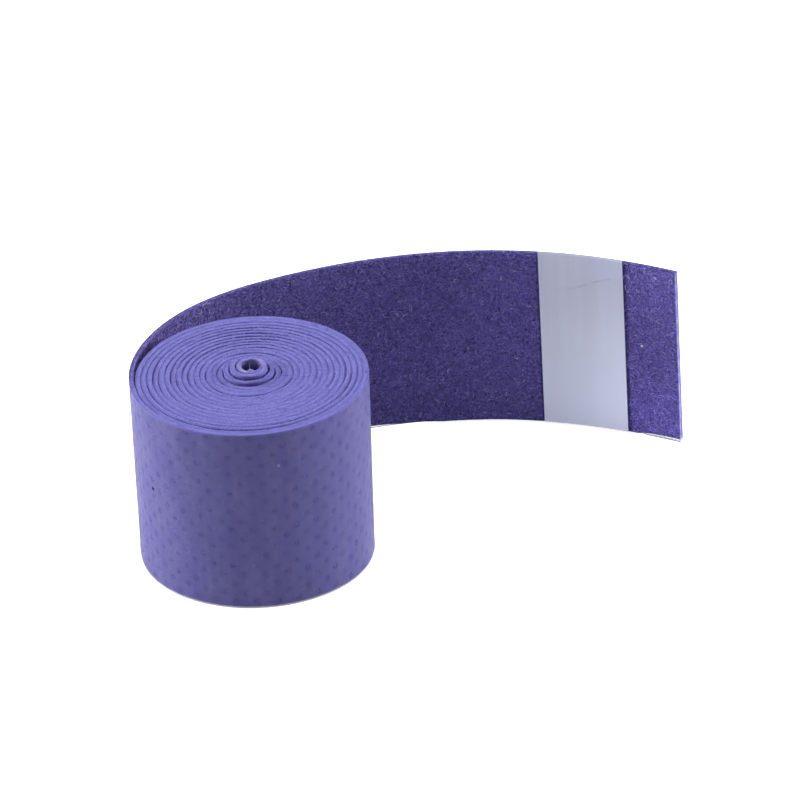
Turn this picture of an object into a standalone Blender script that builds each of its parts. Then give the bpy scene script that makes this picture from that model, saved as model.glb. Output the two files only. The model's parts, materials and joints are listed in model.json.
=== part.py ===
"""Roll of cushioned grip tape, partly unrolled, with its starter strip and protective films.

Frame: origin at the centre of the footprint of roll and tail, in the plane they stand on,
+Z along the roll's winding axis, the free tail running off towards +X, its felt side
facing -Y. The shapes are worked out about the winding axis and placed at ROLL_AXIS.

The tape is one long laminate of felt backing, embossed grip skin and clear protective
film. The wound part is three nested spiral solids. The free tail is the same laminate
divided into short links, so that it can wind onto the roll or be drawn straight.
"""
import math

import bmesh
import bpy
from mathutils import Vector

# ---------------------------------------------------------------- tape (m)
TAPE_WIDTH = 0.025            # height of the standing roll
FELT_THICKNESS = 0.00048
SKIN_THICKNESS = 0.00014
FILM_THICKNESS = 0.00004
ADHESIVE_THICKNESS = 0.00010
LINER_THICKNESS = 0.00006
LAYER_CLEARANCE = 0.00002     # between neighbouring layers

# ---------------------------------------------------------------- roll (m)
ROLL_RADIUS = 0.0152          # outermost face, at the take-off
CORE_HOLE_RADIUS = 0.0010
TURN_PITCH = 0.000734         # radial advance of the spiral per turn
TAKE_OFF_DEG = 195.0          # where the tail leaves the roll, seen from above
ROLL_AXIS = Vector((-0.0196, -0.0069, 0.0))  # from the centre of the footprint
SECTIONS_PER_TURN = 24
SHORTEST_STEP_DEG = 1.0       # between the core end and the next section

CORE_RISE = 0.00090           # the innermost turns stand proud of the roll's top face
CORE_RISE_TURNS = 1.5
STEP_RISE = CORE_RISE / 2     # the next turn stands half as proud
STEP_RISE_TURNS = 2.6
RISE_FADE_TURNS = 0.35        # length of the slope down from each rise

# ---------------------------------------------------------------- tail (m)
# distance along the tail from the take-off, heading in degrees from +X
TAIL_BENDS = (
    (0.000, 105.0),
    (0.008, 80.5),
    (0.018, 55.5),
    (0.030, 29.0),
    (0.044, 14.5),
    (0.058, 0.5),
    (0.072, -15.0),
    (0.0885, -31.0),
)
TAIL_STEP = 0.0001            # step of the integration of the heading
PLAIN_LENGTH = 0.0698         # tail from the take-off to the starter strip
PLAIN_LINKS = 9               # equal lengths of it; the first stays with the roll
STARTER_LENGTH = 0.0115       # starter strip, measured along the tape
TAB_LENGTH = 0.0072           # end tab, beyond the starter strip
LINK_GAP = 0.0003

LINER_STRIPS = 3
FILM_STRIPS = 3               # strips of film on the end tab, the first one fixed
STRIP_GAP = 0.0002            # between neighbouring strips of liner or film

LINK_STEPS = 4                # pieces each solid is divided into along the tape
ADHESIVE_STEPS = 6
STRIP_STEPS = 2

SHARP_EDGE_DEG = 40.0

# ---------------------------------------------------------------- derived sizes
STARTER_END = PLAIN_LENGTH + STARTER_LENGTH
TAIL_LENGTH = STARTER_END + TAB_LENGTH


def layer_outside(below, thickness):
    """Faces of a layer lying outside another, a clearance away."""
    inner = below[1] + LAYER_CLEARANCE
    return inner, inner + thickness


def layer_inside(above, thickness):
    """Faces of a layer lying inside another, a clearance away."""
    outer = above[0] - LAYER_CLEARANCE
    return outer - thickness, outer


# inner and outer face of each layer, measured outward from the felt's inner face
FELT = (0.0, FELT_THICKNESS)
SKIN = layer_outside(FELT, SKIN_THICKNESS)
FILM = layer_outside(SKIN, FILM_THICKNESS)
ADHESIVE = layer_inside(FELT, ADHESIVE_THICKNESS)
LINER = layer_inside(ADHESIVE, LINER_THICKNESS)

TAPE_THICKNESS = FILM[1]
TAKE_OFF_RADIUS = ROLL_RADIUS - TAPE_THICKNESS  # felt's inner face at the take-off
ROLL_TURNS = (TAKE_OFF_RADIUS - CORE_HOLE_RADIUS) / TURN_PITCH


# ---------------------------------------------------------------- materials
def material(name, colour, roughness, alpha=1.0):
    mat = bpy.data.materials.new(name)
    mat.use_nodes = True
    inputs = mat.node_tree.nodes["Principled BSDF"].inputs
    inputs["Base Color"].default_value = (*colour, 1.0)
    inputs["Roughness"].default_value = roughness
    inputs["Alpha"].default_value = alpha
    mat.diffuse_color = (*colour, 1.0)
    return mat


def make_materials():
    return {
        "felt": material("felt", colour=(0.055, 0.040, 0.170), roughness=0.95),
        "skin": material("grip_skin", colour=(0.200, 0.185, 0.520), roughness=0.55),
        "film": material("clear_film", colour=(0.800, 0.800, 0.860), roughness=0.15, alpha=0.25),
        "adhesive": material("adhesive", colour=(0.700, 0.700, 0.740), roughness=0.30),
        "liner": material("release_liner", colour=(0.460, 0.490, 0.620), roughness=0.22),
    }


# ---------------------------------------------------------------- path of the tail
def bend_slope(i):
    """Change of heading with distance at a bend, taken from its neighbours."""
    before = TAIL_BENDS[max(i - 1, 0)]
    after = TAIL_BENDS[min(i + 1, len(TAIL_BENDS) - 1)]
    return (after[1] - before[1]) / (after[0] - before[0])


def heading(distance):
    """Direction of the tail, in radians: a cubic Hermite curve through TAIL_BENDS."""
    i = 0
    while i < len(TAIL_BENDS) - 2 and distance > TAIL_BENDS[i + 1][0]:
        i += 1
    (start, start_deg), (end, end_deg) = TAIL_BENDS[i:i + 2]
    length = end - start
    t = (distance - start) / length
    end_weight = 3 * t**2 - 2 * t**3
    degrees = (
        (1 - end_weight) * start_deg
        + end_weight * end_deg
        + (t**3 - 2 * t**2 + t) * length * bend_slope(i)
        + (t**3 - t**2) * length * bend_slope(i + 1)
    )
    return math.radians(degrees)


def tail_path():
    """Points on the tail's inner face, integrated from its heading in steps of TAIL_STEP."""
    theta = math.radians(TAKE_OFF_DEG)
    x = TAKE_OFF_RADIUS * math.cos(theta)
    y = TAKE_OFF_RADIUS * math.sin(theta)
    points = [(x, y)]
    for k in range(round(TAIL_LENGTH / TAIL_STEP)):
        direction = heading((k + 0.5) * TAIL_STEP)
        x += math.cos(direction) * TAIL_STEP
        y += math.sin(direction) * TAIL_STEP
        points.append((x, y))
    return points


TAIL_POINTS = tail_path()


def tail_at(distance):
    """Point on the felt's inner face and the outward direction."""
    steps = distance / TAIL_STEP
    i = min(int(steps), len(TAIL_POINTS) - 2)
    part = steps - i
    (x0, y0), (x1, y1) = TAIL_POINTS[i:i + 2]
    direction = heading(distance)
    point = Vector((x0 + (x1 - x0) * part, y0 + (y1 - y0) * part, 0.0))
    return point, Vector((-math.sin(direction), math.cos(direction), 0.0))


def tail_sections(start, end, steps=LINK_STEPS):
    """Evenly spaced sections of the tail: point, outward direction and rise."""
    return [(*tail_at(start + (end - start) * k / steps), 0.0) for k in range(steps + 1)]


def joint_axis(distance, faces=(0.0, TAPE_THICKNESS)):
    """Point midway between two faces; by default those of the whole tape."""
    point, normal = tail_at(distance)
    return point + normal * (sum(faces) / 2)


# ---------------------------------------------------------------- path of the roll
def fade(turns, full_until):
    """1 up to full_until, easing down to 0 over RISE_FADE_TURNS."""
    x = min(max((turns - full_until) / RISE_FADE_TURNS, 0.0), 1.0)
    return 1.0 - x * x * (3.0 - 2.0 * x)


def rise(turns):
    """How far the tape is raised, by its distance from the core in turns."""
    step = STEP_RISE * fade(turns, STEP_RISE_TURNS)
    return step + (CORE_RISE - STEP_RISE) * fade(turns, CORE_RISE_TURNS)


def roll_sections():
    """Sections of the wound tape from the core out to the take-off, and on along the first
    link of the tail: point on the felt's inner face, outward direction and rise."""
    core_deg = ROLL_TURNS * 360.0
    step_deg = 360.0 / SECTIONS_PER_TURN
    count = math.floor(core_deg / step_deg)
    if core_deg - count * step_deg < SHORTEST_STEP_DEG:
        count -= 1
    # the section at the take-off itself is the first one of the tail
    wound_angles = [core_deg] + [k * step_deg for k in range(count, 0, -1)]
    sections = []
    for wound_deg in wound_angles:
        theta = math.radians(TAKE_OFF_DEG + wound_deg)
        turns = wound_deg / 360.0
        normal = Vector((math.cos(theta), math.sin(theta), 0.0))
        radius = TAKE_OFF_RADIUS - TURN_PITCH * turns
        sections.append((normal * radius, normal, rise(ROLL_TURNS - turns)))
    return sections + tail_sections(0.0, PLAIN_LENGTH / PLAIN_LINKS - LINK_GAP / 2)


# ---------------------------------------------------------------- solids
def ribbon(name, sections, faces, mat, pivot=Vector((0.0, 0.0, 0.0))):
    """A standing strip: one layer's rectangle swept along the sections. pivot is the
    strip's joint axis, which becomes the object's origin. Sections and pivot are
    measured from the winding axis."""
    bm = bmesh.new()
    rings = []
    for point, normal, lift in sections:
        inner, outer = (point + normal * offset - pivot for offset in faces)
        bottom = Vector((0, 0, lift))
        top = Vector((0, 0, lift + TAPE_WIDTH))
        corners = (inner + bottom, outer + bottom, outer + top, inner + top)
        rings.append([bm.verts.new(corner) for corner in corners])
    for ring, following in zip(rings, rings[1:]):
        for k in range(4):
            j = (k + 1) % 4
            bm.faces.new((ring[k], ring[j], following[j], following[k]))
    bm.faces.new(rings[0][::-1])
    bm.faces.new(rings[-1])
    bmesh.ops.recalc_face_normals(bm, faces=bm.faces[:])
    bmesh.ops.triangulate(bm, faces=bm.faces[:], quad_method="FIXED")
    mesh = bpy.data.meshes.new(name)
    bm.to_mesh(mesh)
    bm.free()
    mesh.shade_smooth()
    mesh.set_sharp_from_angle(angle=math.radians(SHARP_EDGE_DEG))
    mesh.materials.append(mat)
    ob = bpy.data.objects.new(name, mesh)
    ob.location = pivot + ROLL_AXIS
    bpy.context.scene.collection.objects.link(ob)


def divide(start, stop, count, first_inset=0.0):
    """Equal strips with STRIP_GAP between them: fold line, start and stop of each.
    first_inset sets the first strip back from its fold line."""
    width = (stop - start) / count
    strips = []
    for i in range(count):
        fold = start + i * width
        inset = STRIP_GAP / 2 if i else first_inset
        end_inset = STRIP_GAP / 2 if i + 1 < count else 0.0
        strips.append((fold, fold + inset, start + (i + 1) * width - end_inset))
    return strips


def build_roll(mats):
    """The wound tape with the first link of the tail."""
    sections = roll_sections()
    ribbon("coil_felt", sections, FELT, mats["felt"])
    ribbon("coil_grip_skin", sections, SKIN, mats["skin"])
    ribbon("coil_clear_film", sections, FILM, mats["film"])


def build_tab_film(start, stop, tag, pivot, mat):
    """Film on the end tab: a strip that moves with the link, then the flaps."""
    for i, (fold, a, b) in enumerate(divide(start, stop, FILM_STRIPS)):
        name = f"film_flap_{i}" if i else f"tail_film_{tag}"
        axis = joint_axis(fold, FILM) if i else pivot
        ribbon(name, tail_sections(a, b, STRIP_STEPS), FILM, mat, axis)


def build_tail(mats):
    """The links beyond the roll's own, each hinged at its end nearer the roll."""
    joints = [PLAIN_LENGTH * k / PLAIN_LINKS for k in range(1, PLAIN_LINKS + 1)]
    joints.append(STARTER_END)
    for k, joint in enumerate(joints):
        is_tab = k + 1 == len(joints)
        start = joint + LINK_GAP / 2
        stop = TAIL_LENGTH if is_tab else joints[k + 1] - LINK_GAP / 2
        sections = tail_sections(start, stop)
        pivot = joint_axis(joint)
        tag = f"{k + 1:02d}"
        ribbon(f"tail_felt_{tag}", sections, FELT, mats["felt"], pivot)
        ribbon(f"tail_skin_{tag}", sections, SKIN, mats["skin"], pivot)
        if is_tab:
            build_tab_film(start, stop, tag, pivot, mats["film"])
        else:
            ribbon(f"tail_film_{tag}", sections, FILM, mats["film"], pivot)


def build_starter(mats):
    """Starter strip on the felt side of the last link but one: adhesive, then its liner."""
    start = PLAIN_LENGTH + LINK_GAP / 2
    stop = STARTER_END - LINK_GAP / 2
    ribbon("starter_adhesive", tail_sections(start, stop, ADHESIVE_STEPS), ADHESIVE,
           mats["adhesive"], joint_axis(PLAIN_LENGTH))
    strips = divide(start, stop, LINER_STRIPS, first_inset=STRIP_GAP / 2)
    for i, (fold, a, b) in enumerate(strips, start=1):
        ribbon(f"liner_strip_{i}", tail_sections(a, b, STRIP_STEPS), LINER,
               mats["liner"], joint_axis(fold, LINER))


def build():
    for ob in list(bpy.data.objects):
        bpy.data.objects.remove(ob, do_unlink=True)
    mats = make_materials()
    build_roll(mats)
    build_tail(mats)
    build_starter(mats)


build()
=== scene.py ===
"""A roll of felt-backed grip tape with a loose tail.

The roll stands on the floor (z = 0) with its winding axis upright. The front is towards -y. The
tail leaves the roll at the left, arches round behind it and ends at the back right. The felt
faces the axis, and the embossed skin and a clear film cover the outer side. Near the tail's end
the felt carries a starter strip of adhesive under a release liner.
"""
import json
import math

import bpy
import numpy as np
from mathutils import Matrix, Vector


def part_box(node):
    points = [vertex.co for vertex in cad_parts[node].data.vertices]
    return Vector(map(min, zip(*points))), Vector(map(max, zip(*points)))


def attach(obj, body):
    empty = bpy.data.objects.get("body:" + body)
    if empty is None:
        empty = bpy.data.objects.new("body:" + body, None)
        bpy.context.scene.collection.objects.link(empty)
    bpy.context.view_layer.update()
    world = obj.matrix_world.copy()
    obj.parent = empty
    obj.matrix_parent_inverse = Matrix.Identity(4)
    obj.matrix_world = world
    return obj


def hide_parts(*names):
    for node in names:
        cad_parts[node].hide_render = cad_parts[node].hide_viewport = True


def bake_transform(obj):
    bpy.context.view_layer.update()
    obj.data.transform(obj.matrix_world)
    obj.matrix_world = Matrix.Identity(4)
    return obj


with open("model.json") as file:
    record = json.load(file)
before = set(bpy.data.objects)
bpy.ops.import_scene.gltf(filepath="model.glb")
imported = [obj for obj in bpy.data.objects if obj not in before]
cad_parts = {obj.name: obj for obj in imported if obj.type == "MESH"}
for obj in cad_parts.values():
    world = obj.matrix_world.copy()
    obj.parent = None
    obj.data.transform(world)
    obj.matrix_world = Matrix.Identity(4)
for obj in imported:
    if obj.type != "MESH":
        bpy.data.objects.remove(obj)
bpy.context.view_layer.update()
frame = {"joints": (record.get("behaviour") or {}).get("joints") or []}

# All path work is in millimetres; meshes are written in metres. Tape coordinates are
#   along: distance from the take-off, positive down the tail and negative into the roll
#   depth: distance out from the felt's inner face
#   z:     height above the floor
# phi is the angle in degrees wound in from the take-off.
MM = 0.001
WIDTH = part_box("tail_felt_05")[1].z / MM

# layers of the tape, from the inner face outwards
FELT_T = 0.48
SKIN_AT, SKIN_T = 0.50, 0.14
TAPE_T, FILM_T = 0.70, 0.04
FILM_AT = TAPE_T - FILM_T

# the winding
ROLL_R, CORE_R, PITCH = 15.2, 1.0, 0.734
TAKE_OFF = 195.0                         # degrees anticlockwise from +x, seen from above
TURNS = (ROLL_R - TAPE_T - CORE_R) / PITCH
PHI_CAD = TURNS * 360.0
PHI_END = PHI_CAD + 20.0                 # the tape's end feathers out past the CAD's core end
ROLL_END = 3.88                          # where the roll's pieces meet the tail's
OUTER_START, OUTER_SPLIT = -94.0, -12.545    # the outermost turn and the cut in its skin

# the tail
TAIL_END = 88.5
LINK = 69.8 / 9                          # distance between the tail's hinges
FILM_FLAP = 83.84                        # where the film's end flap begins
# along, heading in degrees
BENDS = ((0.0, 105.0), (8.0, 80.5), (18.0, 55.5), (30.0, 29.0), (44.0, 14.5), (58.0, 0.5),
         (72.0, -15.0), (TAIL_END, -31.0))
# along, how far the tape hangs clear of the floor
LIFT = ((0, 0), (14, 0.02), (30, 0.28), (44, 0.60), (48, 0.60), (50.5, 0.46), (53, 0.37),
        (57, 0.13), (64, 0.14), (70, 0.08), (78, 0.01), (82.4, 0.01), (84.3, 0.31),
        (TAIL_END, 0.38))
# turns out from the core, change of radius where the turns are squeezed together
SQUEEZE = ((-0.3, -0.03), (0.0, -0.03), (0.6, -0.02), (1.2, -0.02), (2.2, -0.04),
           (3.2, -0.02), (4.2, 0.0))


# ------------------------------------------------------------------ small maths
def smooth(x):
    x = np.clip(x, 0.0, 1.0)
    return x * x * (3 - 2 * x)


def hash01(col, row, seed):
    """A fixed random number in 0..1 for each lattice point."""
    mask = np.uint64(0xFFFFFFFF)
    bits = (col.astype(np.int64).astype(np.uint64) * np.uint64(374761393)
            + row.astype(np.int64).astype(np.uint64) * np.uint64(668265263)
            + np.uint64(seed) * np.uint64(2246822519)) & mask
    bits = ((bits ^ (bits >> np.uint64(13))) * np.uint64(1274126177)) & mask
    bits = ((bits ^ (bits >> np.uint64(16))) * np.uint64(2246822519)) & mask
    return ((bits ^ (bits >> np.uint64(15))) & mask).astype(float) / 4294967295.0


def vnoise(x, y, seed):
    """Smooth value noise in -1..1 with a unit lattice."""
    x, y = np.broadcast_arrays(np.asarray(x, float), np.asarray(y, float))
    col, row = np.floor(x), np.floor(y)
    part_x, part_y = smooth(x - col), smooth(y - row)
    col, row = col + 4096, row + 4096                        # hashed indices stay positive
    low, high = (hash01(col, row + k, seed) * (1 - part_x)
                 + hash01(col + 1, row + k, seed) * part_x for k in (0, 1))
    return 2 * (low * (1 - part_y) + high * part_y) - 1


def table(along, points):
    return np.interp(along, *zip(*points))


def samples(start, end, step):
    return np.linspace(start, end, max(int(round((end - start) / step)), 1) + 1)


def stations(start, *legs):
    """Samples from start through a run of legs, each given as (end, step)."""
    runs = [[start]]
    for end, step in legs:
        runs.append(samples(start, end, step)[1:])
        start = end
    return np.concatenate(runs)


# ------------------------------------------------------------------ the tape's path
def heading_deg(along):
    """Heading of the tail: a cubic Hermite curve through BENDS."""
    knots, values = np.array(BENDS).T
    last = len(knots) - 1
    before = np.maximum(np.arange(last + 1) - 1, 0)
    after = np.minimum(np.arange(last + 1) + 1, last)
    slope = (values[after] - values[before]) / (knots[after] - knots[before])
    along = np.asarray(along, float)
    i = np.clip(np.searchsorted(knots, along, side="right") - 1, 0, last - 1)
    span = knots[i + 1] - knots[i]
    x = (along - knots[i]) / span
    return ((2 * x**3 - 3 * x**2 + 1) * values[i] + (x**3 - 2 * x**2 + x) * span * slope[i]
            + (-2 * x**3 + 3 * x**2) * values[i + 1] + (x**3 - x**2) * span * slope[i + 1])


TAIL_ALONG = np.linspace(0, TAIL_END, 3541)
_step = TAIL_ALONG[1] - TAIL_ALONG[0]
_heading = np.radians(heading_deg((TAIL_ALONG[1:] + TAIL_ALONG[:-1]) / 2))
_start_r, _start_angle = ROLL_R - TAPE_T, math.radians(TAKE_OFF)
TAIL_X = _start_r * math.cos(_start_angle) + np.r_[0, np.cumsum(np.cos(_heading)) * _step]
TAIL_Y = _start_r * math.sin(_start_angle) + np.r_[0, np.cumsum(np.sin(_heading)) * _step]


def turns_out(phi):
    """Turns counted out from the CAD's core end."""
    return TURNS - phi / 360.0


def roll_radius(phi):
    """Radius of the felt's inner face."""
    turns = turns_out(phi)
    return CORE_R + PITCH * turns + table(turns, SQUEEZE)


WIND_PHI = np.linspace(0, PHI_END, 27000)
_radii = roll_radius(WIND_PHI)
WIND_ALONG = -np.r_[0, np.cumsum((_radii[1:] + _radii[:-1]) / 2 * np.radians(np.diff(WIND_PHI)))]
CORE_END = float(WIND_ALONG[-1])
CAD_CORE_END = float(np.interp(PHI_CAD, WIND_PHI, WIND_ALONG))


def phi_of(along):
    return np.interp(-np.asarray(along, float), -WIND_ALONG, WIND_PHI)


def path(along):
    """Point on the felt's inner face, and the outward direction."""
    along = np.asarray(along, float)
    phi = phi_of(along)
    angle = np.radians(TAKE_OFF + phi)
    core = (phi / PHI_CAD) ** 1.4                            # the core sits a little to the back
    radius = roll_radius(phi)
    # turns aren't perfectly round or evenly tight
    wobble = (0.05 * np.sin(3 * angle + 1.1) * smooth((radius - 2) / 4)
              * smooth((13.6 - radius) / 2.5)
              + 0.03 * np.sin(7 * angle + phi / 90.0) * smooth((radius - 2) / 3)
              * smooth((13.6 - radius) / 2))
    oval = 0.13 * np.cos(2 * angle) * (1 - smooth((radius - 1.2) / 3.0))
    radius = radius + wobble - oval
    out_x, out_y = np.cos(angle), np.sin(angle)
    roll_x = radius * out_x
    roll_y = radius * out_y + 0.42 * core + 0.25 * (phi / PHI_CAD) ** 6
    heading = np.radians(heading_deg(np.maximum(along, 0)))
    tail_x, tail_y = (np.interp(along, TAIL_ALONG, line) for line in (TAIL_X, TAIL_Y))
    on_tail = along > 0
    point = np.stack([np.where(on_tail, tail_x, roll_x), np.where(on_tail, tail_y, roll_y)], -1)
    outward = np.stack([np.where(on_tail, -np.sin(heading), out_x),
                        np.where(on_tail, np.cos(heading), out_y)], -1)
    return point, outward


# how open the gap on the inner side of each turn is, from the outermost inwards (0 pressed
# shut, 1 wide open). Columns: front, right, back and left of the roll
GAPS = (
    (0.02, 0.16, 0.10, 0.30), (1.20, 0.20, 0.14, 0.42), (0.92, 0.28, 0.50, 0.32),
    (0.04, 0.30, 1.05, 0.26), (0.00, 0.22, 0.95, 0.30), (0.00, 0.30, 1.00, 0.42),
    (0.00, 0.20, 0.85, 0.28), (0.00, 0.18, 1.05, 0.34), (0.00, 0.34, 0.95, 0.42),
    (0.00, 0.18, 0.90, 0.20), (0.00, 0.18, 0.65, 0.30), (0.00, 0.14, 0.20, 0.28),
    (0.75, 0.24, 0.90, 0.20), (0.00, 0.10, 0.28, 0.40), (0.00, 0.22, 0.32, 0.26),
    (0.95, 0.45, 1.05, 0.45), (1.00, 0.85, 0.40, 0.45), (0.05, 0.10, 0.10, 0.10))
GAP_PHI = [360.0 * k + side for k in range(len(GAPS)) for side in (75.0, 180.0, 255.0, 345.0)]
GAP_OPEN = np.ravel(GAPS)


def gap_inside(phi):
    patch = 0.85 + 0.30 * vnoise(phi / 23.0, phi / 360.0 * 0.31, 21)
    return np.clip(np.interp(phi, GAP_PHI, GAP_OPEN) * patch, 0.0, 1.15)


def gap_outside(phi):
    return np.where(phi < 360.0, 0.25, gap_inside(np.maximum(phi - 360.0, 0.0)))


def rise_of(along):
    """The innermost turns stand above the roll, in two steps."""
    turns = turns_out(phi_of(np.minimum(along, 0)))
    high = 1 - smooth((turns - 1.5) / 0.35)
    step = 1 - smooth((turns - 2.6) / 0.35)
    return np.where(np.asarray(along) > 0, 0.0, 0.45 * step + 0.45 * high)


def foot(along):
    """Height of the tape's lower edge."""
    along = np.asarray(along, float)
    return table(along, LIFT) + rise_of(along)


def head(along):
    """Height of the tape's upper edge."""
    along = np.asarray(along, float)
    phi = phi_of(along)
    wave = (0.045 * vnoise(phi / 63.0, phi / 360.0 * 0.9, 5)
            + 0.035 * vnoise(phi / 31.0, phi / 360.0, 6))
    wave = wave * np.where(along > 0, 0, 1)
    ridge = 0.05 * vnoise(np.floor(phi / 360.0 + 0.5) + 0.5, 0.5, 7)
    ridge = ridge * np.where(along > -95, 0, 1)
    calm = 0.15 + 0.85 * smooth(gap_inside(phi) / 0.35)      # pressed turns stand level
    tail = 0.02 * vnoise(along / 5.0, 0.3, 8) * np.where(along > 0, 1, 0)
    return WIDTH + rise_of(along) + wave * calm + ridge * calm + tail


# the winding axis, found from the tail's first joint, which lies at mid thickness
_joint = next(j for j in frame["joints"] if j["name"] == "near_tail_wind")["pos_m"]
_point, _outward = path(np.array(LINK))
AXIS = np.array([_joint[i] / MM - _point[i] - _outward[i] * TAPE_T / 2 for i in (0, 1)])


def place(along, depth, z):
    """World points in metres for tape coordinates."""
    along, depth, z = np.broadcast_arrays(*(np.asarray(v, float) for v in (along, depth, z)))
    point, outward = path(along)
    flat = point + outward * depth[..., None]
    # the roll leans a little: its foot is slightly narrower and nearer the front than its top
    lean = (1 - smooth((along + 14) / 16)) * (1 - z / WIDTH)
    x = flat[..., 0] * (1 - 0.0150 * lean) - 0.25 * lean
    y = flat[..., 1] * (1 - 0.0150 * lean) - 0.85 * lean
    # but its foot doesn't swell, so that the tail can still be wound around it
    near, far = np.hypot(flat[..., 0], flat[..., 1]), np.hypot(x, y)
    swell = far - near
    soft = 0.005 + 0.06 * lean
    held = -soft * np.logaddexp(-swell / soft, -0.03 / soft)
    grip = smooth((near - 7.0) / 6.0)
    scale = 1 + (np.minimum(held, swell) - swell) * grip / np.maximum(far, 0.5)
    return np.stack([x * scale + AXIS[0], y * scale + AXIS[1], z], -1) * MM


# ------------------------------------------------------------------ mesh building
def new_piece(name, verts, faces, mat, tape_pos, **attrs):
    """A mesh object. "q" holds its texture position; the other attributes are floats."""
    mesh = bpy.data.meshes.new(name)
    mesh.from_pydata(np.asarray(verts).reshape(-1, 3).tolist(), [], faces)
    layer = mesh.attributes.new("q", "FLOAT_VECTOR", "POINT")
    layer.data.foreach_set("vector", np.asarray(tape_pos, np.float32).ravel())
    for key, values in attrs.items():
        values = np.broadcast_to(np.asarray(values, np.float32), tape_pos.shape[:-1])
        mesh.attributes.new(key, "FLOAT", "POINT").data.foreach_set("value", values.ravel())
    mesh.materials.append(mat)
    mesh.validate()
    mesh.shade_smooth()
    # end caps are the only large polygons: keep them from bending the shading of the strip
    total, first = (np.empty(len(mesh.polygons), np.int32) for _ in range(2))
    edge_of = np.empty(len(mesh.loops), np.int32)
    mesh.polygons.foreach_get("loop_total", total)
    mesh.polygons.foreach_get("loop_start", first)
    mesh.loops.foreach_get("edge_index", edge_of)
    sharp = np.zeros(len(mesh.edges), bool)
    for k in np.flatnonzero(total > 8):
        sharp[edge_of[first[k]:first[k] + total[k]]] = True
    mesh.attributes.new("sharp_edge", "BOOLEAN", "EDGE").data.foreach_set("value", sharp)
    piece = bpy.data.objects.new(name, mesh)
    bpy.context.scene.collection.objects.link(piece)
    return piece


def tape_piece(name, along, depth, z, faces, mat, **attrs):
    """A piece given in tape coordinates."""
    tape_pos = np.stack(np.broadcast_arrays(along, z, depth), -1)
    return new_piece(name, place(along, depth, z), faces, mat, tape_pos, **attrs)


def ladder_caps(rings, sides):
    """End faces of a flat closed strip as quads between its two sides."""
    i = np.arange(sides // 2 - 1)
    cap = np.stack([i, i + 1, sides - 2 - i, sides - 1 - i], -1)
    return cap[:, ::-1].tolist() + (cap + (rings - 1) * sides).tolist()


def ring_faces(rings, sides, ladder=False):
    i, j = np.meshgrid(np.arange(rings - 1), np.arange(sides), indexing="ij")
    here, beside = i * sides + j, i * sides + (j + 1) % sides
    quads = np.stack([here, beside, beside + sides, here + sides], -1).reshape(-1, 4).tolist()
    if ladder:
        return quads + ladder_caps(rings, sides)
    quads.append(list(range(sides))[::-1])
    quads.append([(rings - 1) * sides + k for k in range(sides)])
    return quads


def columns(rows):
    """Turns a list of ring points, each holding values along the tape, into one array per
    value, shaped (along, ring)."""
    return np.stack([np.broadcast_arrays(*row) for row in rows], axis=-1)


def sweep(name, along, depth, z, mat, edge, ladder=False, **attrs):
    """A closed strip. Ring order: up the felt side, over the top, down the outer side, back
    under."""
    faces = ring_faces(*depth.shape, ladder)
    return tape_piece(name, along[:, None], depth, z, faces, mat, edge=edge, **attrs)


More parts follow.
